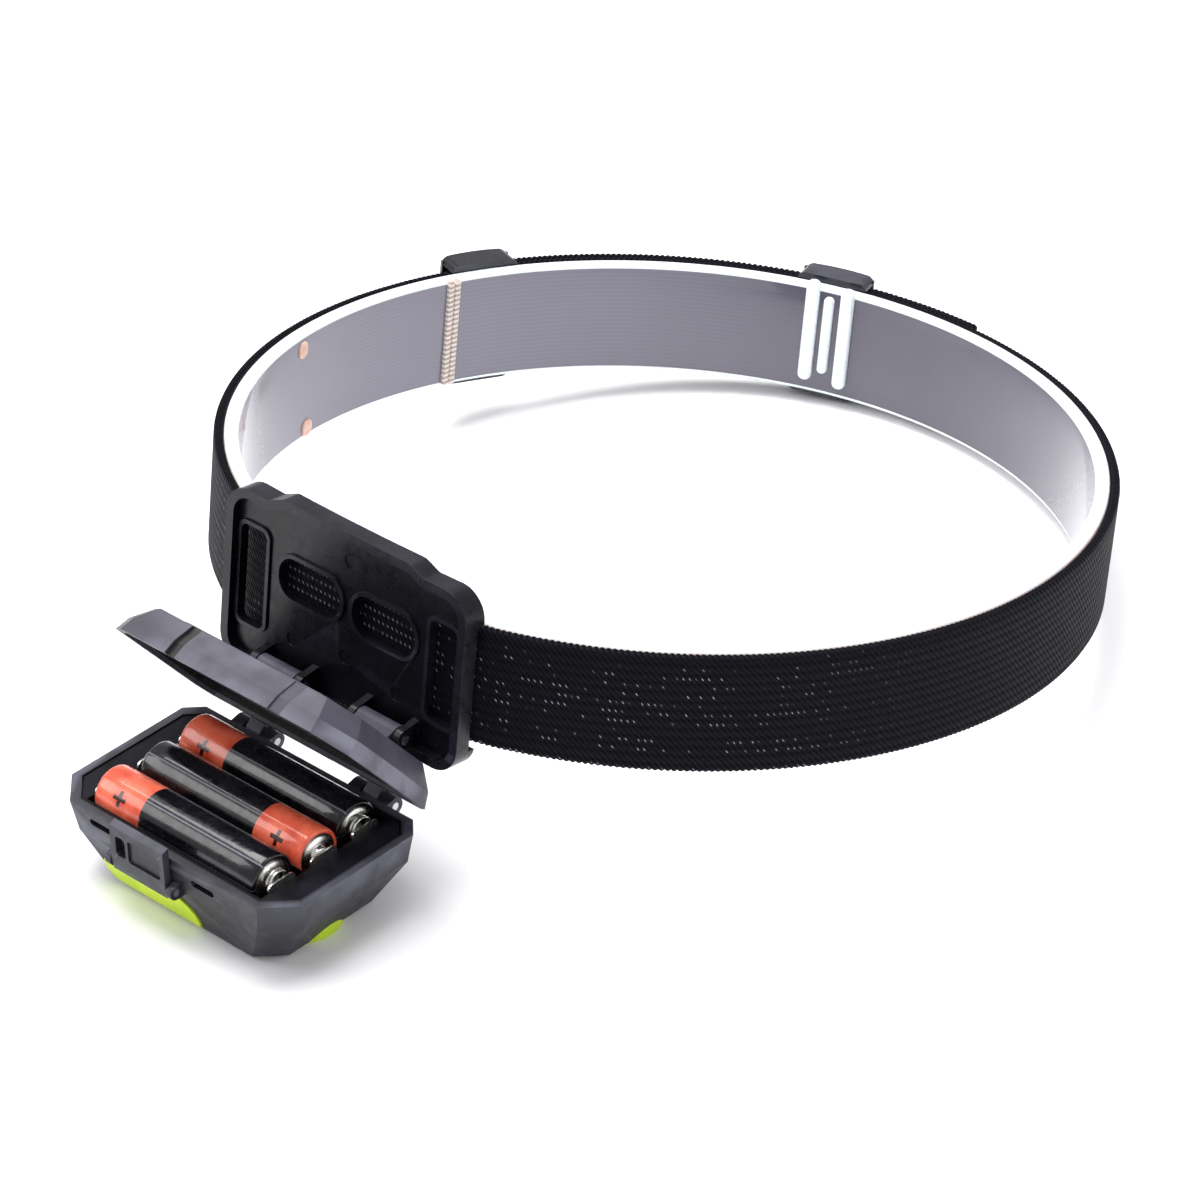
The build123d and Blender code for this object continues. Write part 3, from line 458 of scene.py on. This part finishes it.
bracket_black = moulded(
    "bracket_plastic", colour(6, 6, 12), colour(13, 13, 22), colour(58, 58, 72), 0.3, 0.5 * MM, 0.012 * MM, shine=0.3
)
slider_black = moulded("slider_plastic", colour(10, 10, 15), colour(19, 19, 26), colour(58, 58, 70), 0.3, coat=0.1)
cover_grey = moulded(
    "cover_plastic", colour(53, 52, 63), colour(59, 58, 70), colour(112, 111, 125), 0.5, groove_shade=groove_shade_mask
)
housing_grey = moulded("housing_plastic", colour(22, 22, 30), colour(27, 27, 36), colour(82, 82, 96), 0.46)
tray_black = moulded("tray_plastic", colour(2, 2, 5), colour(6, 6, 10), colour(30, 30, 40), 0.42, shine=0.1)
knit = knitted("knitted_elastic", near_bracket)
plain_knit = knitted("plain_knitted_elastic", nowhere)
liner_clear = liner_material()
liner_rim = rim_material()
steel = metal("steel", (0.6, 0.6, 0.62, 1.0), 0.28)
nickel = metal("nickel", (0.78, 0.77, 0.74, 1.0), 0.2)
aluminium = metal("aluminium_spreader", (0.72, 0.73, 0.75, 1.0), 0.34, 0.01)
mirror = metal("metallised_reflector", (0.88, 0.88, 0.9, 1.0), 0.12)
sleeve = sleeve_material()
cream = sewn_material()
peach = peach_material()
lime = lime_material()
rubber = rubber_material()

# ================= mesh tools =================

FLAT_ANGLE = math.radians(0.6)
SHARP_ANGLE = math.radians(32)
SAME_POINT = 0.002 * MM


def link(piece):
    """Put a piece in the scene."""
    bpy.context.scene.collection.objects.link(piece)
    return piece


def mesh_piece(name, points, faces, materials, uvs=None, face_materials=None):
    """A smooth mesh object from its points and faces."""
    mesh = bpy.data.meshes.new(name)
    mesh.from_pydata(points, [], faces)
    for material in materials:
        mesh.materials.append(material)
    mesh.polygons.foreach_set("use_smooth", [True] * len(faces))
    if face_materials:
        mesh.polygons.foreach_set("material_index", face_materials)
    if uvs:
        layer = mesh.uv_layers.new(name="place")
        for polygon, corners in zip(mesh.polygons, uvs):
            for loop, corner in zip(polygon.loop_indices, corners):
                layer.data[loop].uv = corner
    mesh.update()
    return link(bpy.data.objects.new(name, mesh))


def stand_for(piece, body, slot, *names):
    """The piece rides on a body and is shown in place of CAD nodes."""
    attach(piece, body)
    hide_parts(*names)
    return piece


def bevelled_copy(node, body, slot, material, width, angle=25.0):
    """A copy of a CAD node with its flat faces joined and its edges rounded."""
    mesh = nodes[node].data.copy()
    shape = bmesh.new()
    shape.from_mesh(mesh)
    bmesh.ops.remove_doubles(shape, verts=shape.verts, dist=SAME_POINT)
    bmesh.ops.dissolve_limit(
        shape, angle_limit=FLAT_ANGLE, use_dissolve_boundaries=False, verts=shape.verts, edges=shape.edges
    )
    shape.to_mesh(mesh)
    shape.free()
    mesh.materials.clear()
    mesh.materials.append(material)
    piece = link(bpy.data.objects.new(node + "_moulding", mesh))
    bevel = piece.modifiers.new("soft_edges", "BEVEL")
    bevel.width = width
    bevel.segments = 2
    bevel.limit_method = "ANGLE"
    bevel.angle_limit = math.radians(angle)
    mesh.polygons.foreach_set("use_smooth", [True] * len(mesh.polygons))
    bpy.context.view_layer.objects.active = piece
    piece.select_set(True)
    bpy.ops.object.modifier_apply(modifier="soft_edges")
    mesh.set_sharp_from_angle(angle=SHARP_ANGLE)
    weighted = piece.modifiers.new("flat_faces", "WEIGHTED_NORMAL")
    weighted.keep_sharp = True
    weighted.weight = 100
    bpy.ops.object.modifier_apply(modifier="flat_faces")
    piece.select_set(False)
    return stand_for(piece, body, slot, node)


# ================= the band =================


def band_outline(offset, count):
    """Evenly spaced places round the band at an offset from its outer face: (x, depth), (normal), distance.

    They start at the middle of the front and run towards +X."""
    bend = FRONT_BEND
    low, high = -math.pi / 2, 0.0
    for _ in range(60):
        turn = (low + high) / 2
        x, depth = HALF_WIDTH * math.cos(turn), HALF_LENGTH * math.sin(turn)
        normal = Vector((x / HALF_WIDTH ** 2, depth / HALF_LENGTH ** 2)).normalized()
        if BAND_CENTRE + depth - bend * normal.y > STRAP_FRONT + bend:
            high = turn
        else:
            low = turn
    centre = Vector((x, BAND_CENTRE + depth)) - bend * normal
    first = math.atan2(normal.y, normal.x)
    steps = 400
    half = [(Vector((centre.x * i / 40, STRAP_FRONT)), Vector((0, -1))) for i in range(40)]
    for i in range(120):
        angle = -math.pi / 2 + (first + math.pi / 2) * i / 120
        out = Vector((math.cos(angle), math.sin(angle)))
        half.append((centre + bend * out, out))
    for i in range(steps + 1):
        angle = turn + (math.pi / 2 - turn) * i / steps
        place = Vector((HALF_WIDTH * math.cos(angle), BAND_CENTRE + HALF_LENGTH * math.sin(angle)))
        out = Vector((math.cos(angle) / HALF_WIDTH, math.sin(angle) / HALF_LENGTH)).normalized()
        half.append((place, out))
    other = [(Vector((-p.x, p.y)), Vector((-n.x, n.y))) for p, n in reversed(half[1:-1])]
    line = [(p + offset * n, n) for p, n in half + other]
    line.append(line[0])
    lengths = [0.0]
    for (a, _), (b, _) in zip(line, line[1:]):
        lengths.append(lengths[-1] + (b - a).length)
    total = lengths[-1]
    places, segment = [], 0
    for i in range(count):
        wanted = total * i / count
        while lengths[segment + 1] < wanted:
            segment += 1
        share = (wanted - lengths[segment]) / (lengths[segment + 1] - lengths[segment])
        (a, na), (b, nb) = line[segment], line[segment + 1]
        places.append((a.lerp(b, share), na.lerp(nb, share).normalized(), wanted))
    return places, total


def webbing(name, outline, closed, thickness, materials, picot, body="bracket"):
    """A strap along an outline of (place, normal, distance): rounded edges, and a picot edge if it has one."""
    section = []
    rows = 8
    half_edge = thickness / 2
    for i in range(rows + 1):
        section.append((0.0, half_edge + (STRAP_WIDTH - 2 * half_edge) * i / rows, 0))
    for i in range(1, 4):
        angle = math.pi / 4 * i
        height = STRAP_WIDTH - half_edge + half_edge * math.sin(angle)
        section.append((-half_edge + half_edge * math.cos(angle), height, 1))
    for i in range(rows + 1):
        section.append((-thickness, STRAP_WIDTH - half_edge - (STRAP_WIDTH - 2 * half_edge) * i / rows, 0))
    for i in range(1, 4):
        angle = math.pi / 4 * i
        section.append((-half_edge - half_edge * math.cos(angle), half_edge - half_edge * math.sin(angle), -1))
    points, distances = [], []
    for place, normal, distance in outline:
        tooth = picot * abs(math.sin(math.pi * distance / STITCH)) - picot
        for offset, height, edge in section:
            spot = place + normal * offset
            points.append(band_point(spot.x, spot.y, height + edge * tooth))
        distances.append(distance)
    around, count = len(section), len(outline)
    last = count if closed else count - 1
    pitch = distances[1] - distances[0]
    faces, uvs = [], []
    for i in range(last):
        j = (i + 1) % count
        for k in range(around):
            m = (k + 1) % around
            faces.append((i * around + k, j * around + k, j * around + m, i * around + m))
            start, end = distances[i], distances[i] + pitch
            low, high = section[k][1], section[m][1]
            uvs.append(((start, low), (end, low), (end, high), (start, high)))
    if not closed:
        for base, order in ((0, 1), ((count - 1) * around, -1)):
            ring = [base + k for k in range(around)][::order]
            faces.append(tuple(ring))
            uvs.append(tuple((distances[0], section[(k - base)][1]) for k in ring))
    return mesh_piece(name, points, faces, materials, uvs)


STRAP_STATIONS = 1880
outline, strap_length = band_outline(0.0, STRAP_STATIONS)
outline = [(p, n, d if d < strap_length / 2 else d - strap_length) for p, n, d in outline]
strap = webbing("strap_webbing", outline, True, STRAP_THICKNESS, [knit], PICOT)
stand_for(strap, "bracket", "strap", "headband_strap")


def layer_outline(start, end, offset):
    """The outline of a layer of strap that lies on the band between two angles, in degrees."""
    count = int(abs(end - start) * math.radians(1) * HALF_LENGTH / (STITCH / 4))
    places, distance, before = [], 0.0, None
    for i in range(count + 1):
        angle = math.radians(start + (end - start) * i / count)
        out = Vector((math.cos(angle) / HALF_WIDTH, math.sin(angle) / HALF_LENGTH)).normalized()
        place = Vector((HALF_WIDTH * math.cos(angle), BAND_CENTRE + HALF_LENGTH * math.sin(angle)))
        place = place + out * offset
        if before:
            distance += (place - before).length
        places.append((place, out, distance))
        before = place
    return places, distance


for name, node, start, end in (
    ("second_layer_webbing", "strap_second_layer", 110.0, 160.0), ("tail_webbing", "strap_tail", 88.0, 109.6)
):
    layer, layer_length = layer_outline(start, end, LAYER_GAP + LAYER_THICKNESS)
    piece = webbing(name, layer, False, LAYER_THICKNESS, [plain_knit], PICOT)
    stand_for(piece, "bracket", "strap", node)


# ---- liner ring: a rounded rectangle in section ----

def liner_ring():
    """The stiff ring inside the strap, with a rounded, polished rim."""
    outer = -(STRAP_THICKNESS + LINER_GAP)
    places, _ = band_outline(outer, LINER_STATIONS)
    radius = LINER_CORNER
    inner_side = -LINER_THICKNESS + 0.05 * MM
    section = []
    corners = (
        (0.0, STRAP_WIDTH, 0), (-LINER_THICKNESS, STRAP_WIDTH, 90),
        (-LINER_THICKNESS, 0.0, 180), (0.0, 0.0, 270),
    )
    for x, z, start in corners:
        middle_x = x - radius if x == 0.0 else x + radius
        middle_z = z - radius if z > 0 else z + radius
        for i in range(5):
            angle = math.radians(start + 90 * i / 4)
            section.append((middle_x + radius * math.cos(angle), middle_z + radius * math.sin(angle)))
    points = []
    for place, normal, _ in places:
        for offset, height in section:
            spot = place + normal * offset
            points.append(band_point(spot.x, spot.y, height))
    around, count = len(section), len(places)
    faces, uvs, kinds = [], [], []
    for i in range(count):
        j = (i + 1) % count
        for k in range(around):
            m = (k + 1) % around
            faces.append((i * around + k, j * around + k, j * around + m, i * around + m))
            low, high = section[k][1], section[m][1]
            start, end = places[i][2], places[i][2] + LINER_PITCH
            uvs.append(((start, low), (end, low), (end, high), (start, high)))
            kinds.append(0 if section[k][0] < inner_side and section[m][0] < inner_side else 1)
    return mesh_piece("liner_ring", points, faces, [liner_clear, liner_rim], uvs, kinds)


stand_for(liner_ring(), "bracket", "liner", "band_liner")

def pad(name, angle, low, high, width, corner, proud, material, across=0.0):
    """A raised rounded patch on the liner's inner face, at an angle round the band and between two heights."""
    turn = math.radians(angle)
    out = Vector((math.cos(turn) / HALF_WIDTH, math.sin(turn) / HALF_LENGTH)).normalized()
    inset = STRAP_THICKNESS + LINER_GAP + LINER_THICKNESS
    place = Vector((HALF_WIDTH * math.cos(turn), BAND_CENTRE + HALF_LENGTH * math.sin(turn))) - out * inset
    side = Vector((-out.y, out.x))
    half_width, half_height, middle = width / 2, (high - low) / 2, (low + high) / 2
    steps = 8
    rings = ((0.0, -0.3), (0.0, 0.5), (0.12, 0.8), (0.35, 0.96), (0.7, 1.0))
    points, faces = [], []
    for shrink, rise in rings:
        for quarter, (sign_x, sign_z) in enumerate(((1, 1), (-1, 1), (-1, -1), (1, -1))):
            for i in range(steps):
                bend = math.radians(90 * (quarter + i / (steps - 1)))
                radius = corner * (1 - shrink)
                along = sign_x * (half_width - corner) + radius * math.cos(bend) + across
                height = middle + sign_z * (half_height - corner) + radius * math.sin(bend)
                spot = place + side * along - out * proud * rise
                points.append(band_point(spot.x, spot.y, height))
    around = 4 * steps
    for row in range(len(rings) - 1):
        for i in range(around):
            j = (i + 1) % around
            faces.append((row * around + i, row * around + j, (row + 1) * around + j, (row + 1) * around + i))
    faces.append(tuple((len(rings) - 1) * around + i for i in range(around)))
    piece = mesh_piece(name, points, faces, [material])
    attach(piece, "bracket")
    return piece


for number, (angle, low, high, width) in enumerate(LINER_BARS):
    corner = 0.45 * width * MM
    pad(f"liner_bar_{number + 1}", angle, low * MM, high * MM, width * MM, corner, 1.3 * MM, liner_rim)
for number, side in enumerate(SEAM_CORDS):
    name = f"seam_cord_{number + 1}"
    pad(name, SEAM_ANGLE, 0.3 * MM, 24.9 * MM, 1.5 * MM, 0.6 * MM, 0.9 * MM, cream, side * MM)
for number, (angle, height) in enumerate(PEACH_DOTS):
    low, high = (height - 1.9) * MM, (height + 1.9) * MM
    pad(f"peach_dot_{number + 1}", angle, low, high, 3.4 * MM, 1.6 * MM, 0.5 * MM, peach)

# ================= mouldings =================

bevelled_copy("bracket_plate", "bracket", "bracket", bracket_black, 0.35 * MM)
bevelled_copy("slider_left", "bracket", "slider", slider_black, 0.5 * MM)
bevelled_copy("slider_rear", "bracket", "slider", slider_black, 0.5 * MM)
bevelled_copy("rear_cover", "cover", "cover", cover_grey, 0.2 * MM, 12.0)
bevelled_copy("lamp_housing", "head", "housing", housing_grey, 0.2 * MM, 12.0)
bevelled_copy("battery_tray", "head", "tray", tray_black, 0.15 * MM)
bevelled_copy("latch_tab", "latch", "housing", housing_grey, 0.15 * MM)

# ================= cells =================


def lathe(name, centre, sign, profile, materials, turns=72):
    """A round piece on a line along X: profile is (distance from the plus end, radius, material)."""
    points, faces, uvs, kinds = [], [], [], []
    for distance, radius, _ in profile:
        for i in range(turns):
            angle = 2 * math.pi * i / turns
            y = centre.y + radius * math.cos(angle)
            z = centre.z + radius * math.sin(angle)
            points.append((centre.x - sign * distance, y, z))
    for row in range(len(profile) - 1):
        for i in range(turns):
            j = (i + 1) % turns
            face = (row * turns + i, row * turns + j, (row + 1) * turns + j, (row + 1) * turns + i)
            corners = (
                (i / turns, profile[row][0]), ((i + 1) / turns, profile[row][0]),
                ((i + 1) / turns, profile[row + 1][0]), (i / turns, profile[row + 1][0]),
            )
            faces.append(face if sign < 0 else face[::-1])
            uvs.append(corners if sign < 0 else corners[::-1])
            kinds.append(profile[row][2])
    return mesh_piece(name, points, faces, materials, uvs, kinds)


def cell(node, sign):
    """A cell with a shrink sleeve, a button at its plus end and a flat disc at the other.

    sign is +1 where the plus end is at +X, and -1 where it is at -X."""
    low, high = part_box(node)
    centre = Vector((high.x if sign > 0 else low.x, (low.y + high.y) / 2, (low.z + high.z) / 2))
    tail = (CELL_BUTTON + CELL_BODY) / MM
    mm_profile = [
        (0.0, 0.05, 0), (0.0, 1.45, 0), (0.12, 1.75, 0), (0.35, 1.88, 0), (1.05, 1.9, 0), (1.15, 2.1, 0),
        (1.2, 3.3, 0), (1.35, 3.5, 0), (1.35, 4.1, 0), (1.2, 4.3, 1), (1.12, 4.6, 1), (1.2, 4.95, 1),
        (1.5, 5.18, 1), (1.9, 5.25, 1),
    ]
    for i in range(1, 12):
        mm_profile.append((1.9 + (tail - 2.6) * i / 11, 5.25, 1))
    mm_profile += [
        (tail - 0.3, 5.15, 1), (tail - 0.05, 4.9, 1), (tail, 4.5, 1), (tail - 0.1, 4.3, 0),
        (tail - 0.25, 4.1, 0), (tail - 0.25, 3.5, 0), (tail - 0.05, 3.2, 0), (tail - 0.05, 0.05, 0),
    ]
    profile = [(d * MM, r * MM, kind) for d, r, kind in mm_profile]
    piece = lathe(node + "_body", centre, sign, profile, [nickel, sleeve])
    return stand_for(piece, "head", "cell", node)


cell("cell_front", -1)
cell("cell_middle", 1)
cell("cell_rear", -1)

# ================= finishes of the CAD nodes that stay =================

finishes = {
    "tilt_pins": steel, "door_pins": steel, "latch_pin": steel, "board_screws": steel,
    "contact_plates": nickel, "spring_front": nickel, "spring_middle": nickel, "spring_rear": nickel,
    "cover_gasket": rubber, "lens_seal": rubber, "led_board": board_material(), "heat_spreader": aluminium,
    "led_emitter": phosphor_material(), "reflector": mirror, "front_lens": lens_material(),
    "front_bezel": lime, "power_button": lime, "tact_switch": tray_black,
}
for node, material in finishes.items():
    nodes[node].data.materials.clear()
    nodes[node].data.materials.append(material)

# ================= floor, lights and camera =================

FLOOR_REACH = 3.0
floor_corners = [(FLOOR_REACH * x, FLOOR_REACH * y, 0) for x, y in ((-1, -1), (1, -1), (1, 1), (-1, 1))]
floor = mesh_piece("floor", floor_corners, [(0, 1, 2, 3)], [floor_material()])
floor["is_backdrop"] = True


def area_light(name, place, target, size, power):
    """A square soft light that points at a target."""
    light = bpy.data.lights.new(name, "AREA")
    light.shape = "SQUARE"
    light.size = size
    light.energy = power
    lamp = link(bpy.data.objects.new(name, light))
    lamp.location = place
    lamp.rotation_mode = "QUATERNION"
    lamp.rotation_quaternion = (Vector(target) - Vector(place)).to_track_quat("-Z", "Y")
    return lamp


area_light("overhead_softbox", (-0.25, 0.1, 1.1), (0, 0, 0), 0.9, 20.0)
area_light("left_softbox", (-0.9, -0.7, 0.7), (0, 0, 0.02), 0.6, 5.0)
area_light("right_softbox", (1.0, 0.4, 0.8), (0, 0, 0.02), 0.5, 2.5)

world = bpy.data.worlds.new("studio")
bpy.context.scene.world = world
world.use_nodes = True
world.node_tree.nodes["Background"].inputs["Color"].default_value = (1.0, 1.0, 1.0, 1.0)
world.node_tree.nodes["Background"].inputs["Strength"].default_value = 0.55
bpy.context.scene.view_settings.view_transform = "Standard"

CAMERA_AZIMUTH = math.radians(43.7)
CAMERA_ELEVATION = math.radians(34.2)
CAMERA_ROLL = math.radians(-1.75)
CAMERA_DISTANCE = 1.031
CAMERA_TARGET = Vector((-12.8, 16.65, 0.5)) * MM

camera_data = bpy.data.cameras.new("camera")
camera_data.sensor_width = 36.0
camera_data.lens = 150.0
camera = link(bpy.data.objects.new("camera", camera_data))
back = Vector((
    math.sin(CAMERA_AZIMUTH) * math.cos(CAMERA_ELEVATION),
    -math.cos(CAMERA_AZIMUTH) * math.cos(CAMERA_ELEVATION),
    math.sin(CAMERA_ELEVATION),
))
camera.location = CAMERA_TARGET + back * CAMERA_DISTANCE
camera.rotation_mode = "QUATERNION"
camera.rotation_quaternion = (-back).to_track_quat("-Z", "Y") @ Quaternion((0, 0, 1), CAMERA_ROLL)
bpy.context.scene.camera = camera

low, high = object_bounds()
